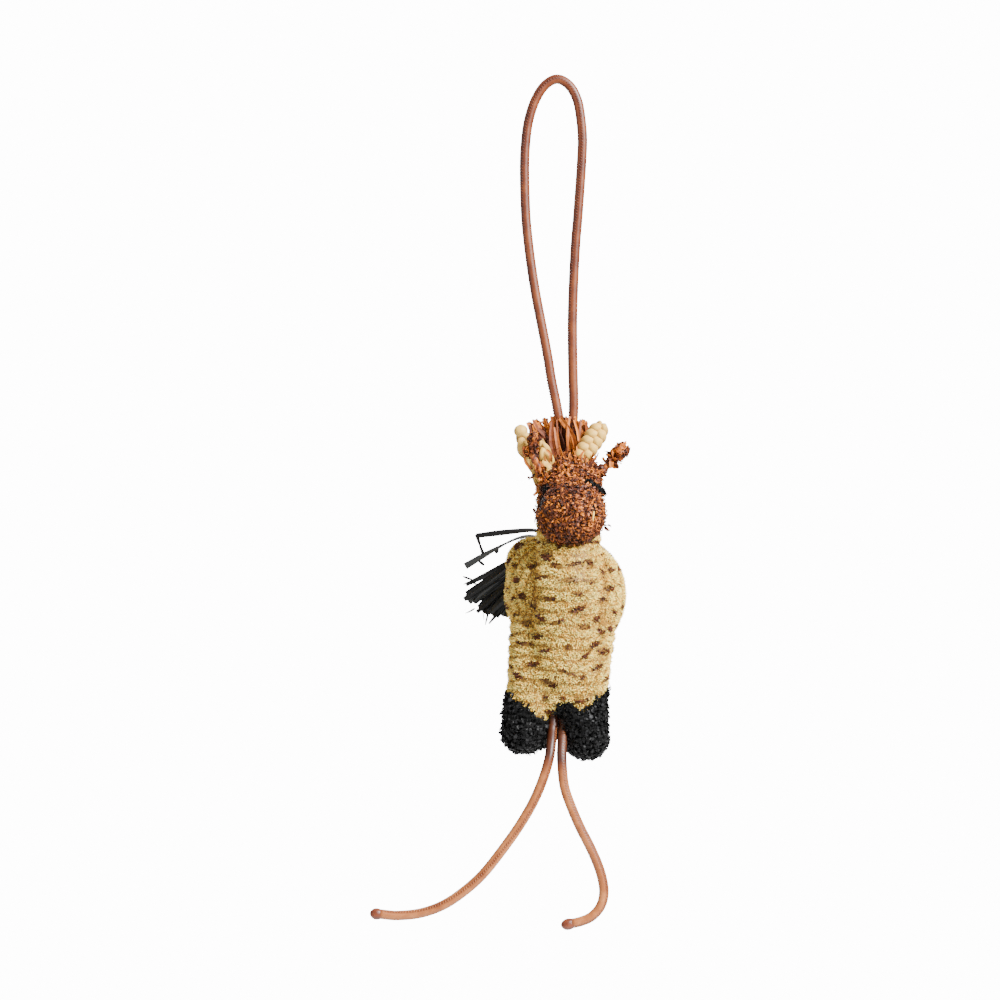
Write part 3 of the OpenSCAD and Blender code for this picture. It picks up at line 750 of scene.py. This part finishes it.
# The head form under the tufts is painted at its darkest, as painted shade in the gaps between them.
bare = np.zeros(len(head_form[0]))
shape = join([tufts(rng, spots, ways, stand, 0.6 * MM, 0.85, 0.8 * MM, shade),
              curls(rng, spots[curled], ways[curled], 2.5 * MM, 0.6 * MM, 2.4, shade[curled]),
              (head_form[0], head_form[1].tolist(), bare, bare)])
head = piece("head_pelt", shape[0], shape[1], brown_raffia, "brown_raffia", "goat", ["head_pile"],
             shade=shape[2], tip=shape[3])

# ---- Forelock ----------------------------------------------------------------------------
# A brush of long flat raffia ribbons stands round the two strands, tied in at the crown and cut to
# uneven lengths. Shorter ends curl over the brow.


def ribbons(rng, starts, ends, width, bow, thick=0.14 * MM, steps=6, point=0.35, shade=None, front=1.2):
    """Flat blades of ribbon raffia, bowed and twisted a little, narrowing to a cut point."""
    parts = []
    for i, (p, q) in enumerate(zip(starts, ends)):
        t = np.linspace(0, 1, steps)[:, None]
        swing = rng.normal(size=3) * bow * np.linalg.norm(q - p)
        path = p + (q - p) * t + swing * (t * (1 - t)) * 2
        along = unit(np.gradient(path, axis=0))
        face = unit(rng.normal(size=3) + np.array([0, -front, 0]))
        turn = unit(np.cross(along, face))
        over = np.cross(along, turn)
        taper = 1 - (1 - point) * np.clip((t - 0.65) / 0.35, 0, 1)
        w = width[i] / 2 * taper * (0.55 + 0.45 * np.clip(t / 0.2, 0, 1))
        fold = 0.3 * w
        left, centre, right = path - turn * w, path + over * fold, path + turn * w
        layers = [left, centre, right, right - over * thick, centre - over * thick, left - over * thick]
        points = np.stack(layers, axis=1).reshape(-1, 3)
        faces = ring_faces(steps, 6)
        last = (steps - 1) * 6
        faces += [[0, 5, 4, 1], [1, 4, 3, 2], [last, last + 1, last + 4, last + 5],
                  [last + 1, last + 2, last + 3, last + 4]]
        tone = rng.random() if shade is None else shade[i]
        # The tip value climbs towards the cut end, so each ribbon is painted darker near its root and a
        # little darker along its middle fold: painted shade.
        tip = np.repeat(0.2 + 0.7 * t[:, 0], 6) + np.tile([0.1, -0.15, 0.1, 0.1, -0.15, 0.1], steps)
        parts.append((points, faces, np.full(len(points), tone), tip))
    return join(parts)


rng = np.random.default_rng(33)
lock_lo, lock_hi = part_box("forelock")
lock_x = (lock_lo.x + lock_hi.x) / 2
starts, ends, widths, tones = [], [], [], []
for _ in range(210):
    side, depth = rng.uniform(-1, 1, 2)
    root = np.array([3.2 * MM + side * 7.4 * MM, depth * 4.2 * MM - 3 * MM,
                     lock_lo.z - (4 + 5 * abs(side)) * MM])
    height = (2.0 - 9 * rng.random() ** 1.5 - 2.4 * side * side) * MM
    tip = np.array([lock_x - 1.2 * MM + side * 10.8 * MM + rng.normal() * 1.5 * MM,
                    depth * 6.2 * MM - 1.6 * MM, lock_hi.z + height])
    strand_x = np.array([1.2, 6.6]) * MM
    if abs(tip[1]) < 2.6 * MM and np.min(np.abs(strand_x - tip[0])) < 2.6 * MM:
        tip[1] = math.copysign(rng.uniform(2.8, 4.2) * MM, depth)
    starts.append(root)
    ends.append(tip)
    widths.append(rng.uniform(0.8, 3.0) * MM)
    # Ribbons in the middle parting are painted darker, as painted shade in the gap between the two
    # halves of the brush.
    parting_shade = math.exp(-((side - 0.02) / 0.14) ** 2)
    tones.append(rng.random() ** 0.8 * (1 - 0.85 * parting_shade))
brush = ribbons(rng, starts, ends, widths, 0.13, point=0.6, shade=tones, front=2)
starts, ends, widths = [], [], []
for _ in range(190):
    side = rng.uniform(-1, 1)
    root = np.array([4.6 * MM + side * 8.6 * MM, -6.5 * MM - rng.uniform(0, 6) * MM,
                     -155 * MM - 9 * MM * rng.random()])
    tip = root + np.array([side * 1.6 + rng.normal() * 1.5, -2.6 * rng.random(),
                           rng.uniform(1.5, 7)]) * MM
    starts.append(root)
    ends.append(tip)
    widths.append(rng.uniform(0.5, 1.4) * MM)
fringe = ribbons(rng, starts, ends, widths, 0.2, point=0.6, shade=rng.random(len(starts)) ** 1.6)
# A few ribbon ends stray from the sides of the head.
strays_from = ((-10.8, -152.4), (-10, -158), (-9.2, -160), (-9.4, -160.6), (-8.6, -164),
               (-8.4, -176), (-8.2, -177), (19, -181), (19, -181.4))
strays_to = ((-13.6, -153.4), (-13.4, -153.6), (-11.8, -162.4), (-12, -161), (-9.8, -168.8),
             (-9.8, -174), (-9.4, -179.6), (21.8, -181.4), (21, -182.6))
strays = ribbons(rng, [np.array([x, -12, z]) * MM for x, z in strays_from],
                 [np.array([x, -12.6, z]) * MM for x, z in strays_to], [1.3 * MM] * 9, 0.35, point=0.8,
                 shade=rng.random(9))
shape = join([brush, fringe, strays])
piece("forelock_brush", shape[0], shape[1], brown_raffia, "brown_raffia", "goat", ["forelock"],
      shade=shape[2], tip=shape[3])

# ---- Horns -------------------------------------------------------------------------------
# Each horn is a flat plait of cream raffia, rounded at the top and sewn into the head. The right
# one has a second, pointed leaf of the same plait in front of it.


def plait(path, width, thick, crossings, swell):
    """Three flat strands that cross over each other along a path. swell is a share of the width at
    each end and in between, evenly spaced."""
    parts = []
    along, across, out = path_frames(path)
    t = np.linspace(0, 1, len(path))
    girth = width * np.interp(t, np.linspace(0, 1, len(swell)), swell)
    for k in range(3):
        a = math.pi * crossings * t + 2 * math.pi * k / 3
        sideways = (girth * 0.3 * np.sin(a))[:, None] * across
        strand = path + sideways + (thick * 0.3 * np.sin(2 * a))[:, None] * out
        points, faces, angle = tube(strand, girth * 0.27, 12, flat=0.62 * thick / width * 1.7)
        ridges = 1 + 0.06 * np.cos(4 * angle)
        centre = np.repeat(strand, 12, axis=0)
        depth = np.repeat(np.sin(2 * a), 12)
        points = centre + (points - centre) * ridges[:, None]
        # Each strand is painted darker where it dips back under the others and in the grooves between
        # its ridges: painted shade.
        parts.append((points, faces, 0.5 + 0.12 * np.cos(4 * angle), 0.55 - 0.35 * depth))
    return join(parts)


plait_raffia = raffia("plait_raffia", (0.24, 0.1, 0.01), (0.62, 0.34, 0.055), (0.76, 0.52, 0.13),
                      (0.14, 0.06, 0.012))
lo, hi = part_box("left_horn")
y = mid("left_horn").y
path = smooth_path(np.array([(7.2 * MM, y + 1.5 * MM, lo.z - 3 * MM), (10.4 * MM, y, -152.4 * MM),
                             (14.4 * MM, y, -146.4 * MM), (18.6 * MM, y, hi.z + 0.5 * MM)]), 0.4 * MM)
shape = plait(path, 7.4 * MM, 4.6 * MM, 4.6, (0.8, 0.85, 0.95, 1.0, 1.02, 1.04, 1.0, 0.5))
piece("left_horn_plait", shape[0], shape[1], plait_raffia, "cream_raffia", "goat", ["left_horn"],
      smooth=True, shade=shape[2], tip=shape[3])
y = mid("right_horn").y
path = smooth_path(np.array([(-6.8 * MM, y - 1.5 * MM, -167 * MM), (-9.2 * MM, y - 1 * MM, -158 * MM),
                             (-12.2 * MM, y, -150 * MM), (-14.9 * MM, y, -142.4 * MM)]), 0.4 * MM)
leaf = smooth_path(np.array([(-4.6, -12.4, -161.5), (-4.2, -12.2, -155.4),
                             (-5.4, -11.8, -150), (-6.8, -11.4, -145.6)]) * MM, 0.4 * MM)
knob = tube(path[-1] + np.linspace(-1, 1, 11)[:, None] * np.array([-0.4, 0, 2.6]) * MM,
            np.sqrt(1.04 - np.linspace(-1, 1, 11) ** 2) * 2.8 * MM, 20)
knob = (knob[0], knob[1], 0.5 + 0.12 * np.cos(6 * knob[2]), np.full(len(knob[0]), 0.7))
shape = join([knob, plait(path, 6 * MM, 3.4 * MM, 2.6, (0.5, 0.55, 0.62, 0.75, 0.95, 1.2, 1.1, 0.5)),
              plait(leaf, 5.4 * MM, 2.2 * MM, 2.2, (0.6, 0.95, 1.0, 0.7, 0.2))])
piece("right_horn_plait", shape[0], shape[1], plait_raffia, "cream_raffia", "goat", ["right_horn"],
      smooth=True, shade=shape[2], tip=shape[3])

# ---- Ears --------------------------------------------------------------------------------
# An ear is a thin bundle of brown raffia, bound round with one more ribbon of it and left to fray
# into a knob at the end.


def bound_stalk(base, top, radius, turns):
    """A bundle with a ribbon wound round it, as ridges that climb like a screw."""
    path = np.linspace(np.array(base), np.array(top), 40)
    points, faces, angle = tube(path, radius, 16)
    step = np.repeat(np.linspace(0, 1, 40), 16)
    ridge = np.abs(np.sin(math.pi * turns * step + angle / 2))
    centre = np.repeat(path, 16, axis=0)
    lumps = (0.88 + 0.1 * ridge + 0.16 * np.sin(11 * step + 2 * angle)
             + 0.08 * np.sin(29 * step + 3 * angle))
    points = centre + (points - centre) * lumps[:, None]
    # The grooves between the windings are painted darker: painted shade.
    return points, faces, 0.1 + 0.5 * ridge, 0.3 + 0.7 * ridge


def frayed_knob(rng, base, top, radius, count, burst):
    """Short ends of ribbon that burst out of the binding."""
    base, top = np.array(base), np.array(top)
    way = unit(top - base)
    starts, ends, widths = [], [], []
    for _ in range(count):
        t = rng.random()
        out = unit(rng.normal(size=3) * burst * (1 - 0.5 * t) + way * (0.25 + 1.4 * t))
        root = base + (top - base) * t * 0.75
        starts.append(root)
        ends.append(root + out * radius * rng.uniform(0.65, 1.15))
        widths.append(rng.uniform(0.9, 2.2) * MM)
    return ribbons(rng, starts, ends, widths, 0.4, point=0.8, shade=rng.random(count) ** 1.5)


rng = np.random.default_rng(47)
for side, base, neck, knob_top, radius, burst in (
        ("left", (14.6, -7, -162), (22.4, -6, -154.6), (26.6, -6, -149.4), 4.1, 1.0),
        ("right", (-4.6, -12.6, -163.5), (-10.8, -13.6, -151.4), (-9.4, -13.2, -144.6), 3.8, 0.6)):
    base, neck, knob_top = (Vector(p) * MM for p in (base, neck, knob_top))
    shape = bound_stalk(base, neck, 1.3 * MM, 4)
    piece(side + "_ear_bundle", shape[0], shape[1], brown_raffia, "brown_raffia", "goat",
          [side + "_ear_stalk"], smooth=True, shade=shape[2], tip=shape[3])
    shape = join([frayed_knob(rng, neck, knob_top, radius * MM, 110, burst),
                  frayed_knob(rng, base, base.lerp(neck, 0.5), 3 * MM, 90, 1.0),
                  frayed_knob(rng, base, neck, 1.7 * MM, 30, 0.7)])
    piece(side + "_ear_fray", shape[0], shape[1], brown_raffia, "brown_raffia", "goat",
          [side + "_ear_tuft"], shade=shape[2], tip=shape[3])

# ---- Eyes and mouth stitch ---------------------------------------------------------------
# An eye is a short dash of black raffia worked into the pile. One cream stitch marks the mouth.
EYE_SWELL = np.array([0.7, 0.95, 1, 1, 1, 1, 0.95, 0.7])
rng = np.random.default_rng(55)
for side, (p, q, girth) in EYES.items():
    p, q = np.array(p) * MM, np.array(q) * MM
    count = round(500 * girth)
    spine = p + (q - p) * rng.random(count)[:, None]
    around = unit(rng.normal(size=(count, 3)))
    spots = spine + around * girth * rng.uniform(0.2, 0.8, count)[:, None] * MM
    bar = tube(np.linspace(p, q, 8), EYE_SWELL * (girth - 0.8) * MM, 12)[:2]
    bar += (np.zeros(len(bar[0])), np.zeros(len(bar[0])))
    shape = join([bar, tufts(rng, spots, unit(spots - spine), 0.8 * MM, 0.7 * MM, 1.0, 0.6 * MM,
                             rng.random(count) ** 4)])
    piece(side + "_eye_tufts", shape[0], shape[1], black_raffia, "black_raffia", "goat", [side + "_eye"],
          shade=shape[2], tip=shape[3])
stitch_lo, stitch_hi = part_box("mouth_stitch")
stitch_mid = np.array((stitch_lo + stitch_hi) / 2)
reach = (stitch_hi.z - stitch_lo.z) / 2
t = np.linspace(-1, 1, 9)
path = stitch_mid + np.stack([0.3 * MM * t - 0.7 * MM, -0.9 * MM + 2.4 * MM * t ** 4, reach * t], axis=1)
shape = tube(path, 0.55 * MM, 10, side=(1, 0, 0), flat=0.8)
piece("mouth_ribbon", shape[0], shape[1], plait_raffia, "cream_raffia", "goat", ["mouth_stitch"],
      smooth=True, shade=np.full(len(shape[0]), 0.7), tip=np.full(len(shape[0]), 1.0))

# ---- Tail --------------------------------------------------------------------------------
# The tail is a bunch of wide black ribbon raffia, knotted round a peg on the rump. Most of it fans
# out and down to the animal's right. One thin strand folds back on itself, and another crosses it.
tail_black = raffia("tail_raffia", (0.004, 0.0042, 0.0044), (0.013, 0.0135, 0.0135),
                    (0.07, 0.074, 0.074), (0.6, 0.6, 0.6), roughness=0.36)
rng = np.random.default_rng(64)
tail_lo, tail_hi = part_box("tail_strands")
peg = np.array([tail_hi.x - 2 * MM, (tail_lo.y + tail_hi.y) / 2, tail_hi.z - 5.2 * MM])
tail_y = peg[1] / MM
starts, ends, widths = [], [], []
for _ in range(44):
    spread = rng.random()
    tip = np.array([-38.4 + 17 * spread ** 1.2, tail_y, -208 - 10.5 * math.sin(math.pi * 0.62 * spread)])
    starts.append(peg + rng.normal(size=3) * 0.6 * MM)
    ends.append(tip * MM + rng.normal(size=3) * np.array([1.3, 0.9, 1.3]) * MM)
    widths.append(rng.uniform(1.2, 4.6) * MM)
fan = ribbons(rng, starts, ends, widths, 0.035, thick=0.16 * MM, steps=9, point=0.6,
              shade=rng.random(len(starts)) ** 2, front=4)
wisps_from = [(-31, -212), (-34, -216), (-28, -217), (-35, -204), (-33, -206), (-22, -208),
              (-25, -193), (-30, -198)]
wisps_to = [(-30, -221), (-38, -218), (-29.5, -223), (-39, -202.6), (-38.6, -206), (-28, -222.5),
            (-24, -191), (-32.6, -196)]
wisp_widths = [0.9 * MM] * 5 + [2.6 * MM, 1.6 * MM, 1.2 * MM]
loose = ribbons(rng, [np.array([x, tail_y, z]) * MM for x, z in wisps_from],
                [np.array([x, tail_y, z]) * MM for x, z in wisps_to], wisp_widths,
                0.15, thick=0.16 * MM, shade=[0.4] * len(wisp_widths))


def blade(route, widths, tone):
    """One flat ribbon along a route, its width given at each of the route's points."""
    path = smooth_path(np.array([(x, tail_y, z) for x, z in route]) * MM, 0.8 * MM)
    girth = np.interp(np.linspace(0, 1, len(path)), np.linspace(0, 1, len(widths)), widths) * MM / 2
    along, across, out = path_frames(path)
    edge = across * girth[:, None]
    fold = out * 0.25 * girth[:, None]
    thick = out * 0.16 * MM
    rim = np.stack([path - edge, path - fold, path + edge, path + edge + thick, path - fold + thick,
                    path - edge + thick], axis=1).reshape(-1, 3)
    faces = ring_faces(len(path), 6)
    faces += [[5, 4, 3, 2, 1, 0], [len(rim) - 6 + k for k in range(6)]]
    return rim, faces, np.full(len(rim), tone), np.full(len(rim), 0.8)


bent = blade([(-3.6, -187), (-8.6, -183.4), (-20, -184), (-33.4, -185.6)], (1.2, 1.6, 2.2, 2.4, 2), 0.25)
folded = blade([(-33.2, -185), (-31.8, -189.4), (-30.2, -194)], (1.8, 1, 1.6), 0.15)
crossing = blade([(-4, -188), (-9.6, -185.8), (-16.4, -186.8), (-26.8, -191.9), (-38, -198.4)],
                 (0.9, 1.4, 0.9, 2.2, 2.9), 0.8)
shape = join([fan, loose, bent, folded, crossing])
piece("tail_ribbons", shape[0], shape[1], tail_black, "black_raffia", "tail", ["tail_strands"],
      shade=shape[2], tip=shape[3])
knot_lo, knot_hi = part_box("tail_tie")
knot_mid = np.array((knot_lo + knot_hi) / 2)
parts = []
for k in range(3):
    a = np.linspace(0, 2 * math.pi, 33)
    r = (knot_hi.x - knot_lo.x) / 2 * (0.72 + 0.08 * k)
    back = (k - 1) * 0.6 * MM + 0.3 * MM * np.sin(2 * a)
    ring = knot_mid + np.stack([r * np.cos(a), back, r * np.sin(a)], axis=1)
    points, faces, angle = tube(ring, 0.75 * MM, 8, caps=False)
    parts.append((points, faces, 0.4 + 0.3 * np.cos(3 * angle), np.ones(len(points))))
shape = join(parts)
piece("tail_knot", shape[0], shape[1], tail_black, "black_raffia", "tail", ["tail_tie"], smooth=True,
      shade=shape[2], tip=shape[3])

# ---- Straw cores, twine and wire ---------------------------------------------------------
# Inside, the body is bundled uncut straw, bound with twine over soft wire. The pile hides nearly all
# of it: only the tie round the forelock's root shows, at the back of the head.
straw = Finish("bundled_straw", 0.6, Specular_IOR_Level=0.35)
stalks = straw.noise(500, 3, (1, 1, 0.06))
straw_shades = [(0.3, (0.3, 0.18, 0.05)), (0.5, (0.6, 0.42, 0.14)), (0.7, (0.8, 0.62, 0.28))]
straw.colour(straw.ramp(stalks, straw_shades))
straw.bump(stalks, 0.0006, 0.8)
twine = Finish("twisted_twine", 0.85, Sheen_Weight=0.2)
plies = twine.node("ShaderNodeTexWave", Scale=700.0, Distortion=2.0, bands_direction="DIAGONAL")
twine.link(twine.place(), plies.inputs["Vector"])
twine.colour(twine.ramp(plies.outputs["Fac"], [(0.0, (0.1, 0.05, 0.02)), (1.0, (0.34, 0.2, 0.08))]))
twine.bump(plies.outputs["Fac"], 0.0003, 0.8)
wire = Finish("annealed_wire", 0.45, Metallic=1.0)
fire_scale = wire.noise(1200, 3)
wire.colour(wire.ramp(fire_scale, [(0.3, (0.2, 0.19, 0.18)), (0.7, (0.5, 0.5, 0.5))]))
wire.roughness(fire_scale, 0.3, 0.6)
peg_finish = raffia("peg_raffia", (0.01, 0.01, 0.011), (0.03, 0.03, 0.033), (0.1, 0.1, 0.1),
                    (0.9, 0.9, 0.9))
SLOT_FINISH = {"straw": straw, "twine": twine, "wire": wire, "leather_cord": loop_leather,
               "black_raffia": peg_finish}
slot_of = {part["node"]: part["material_slot"] for part in frame["record"]["subparts"]}
for name, node in frame["nodes"].items():
    if slot_of[name] in SLOT_FINISH:
        node.data.materials.clear()
        node.data.materials.append(SLOT_FINISH[slot_of[name]].material)
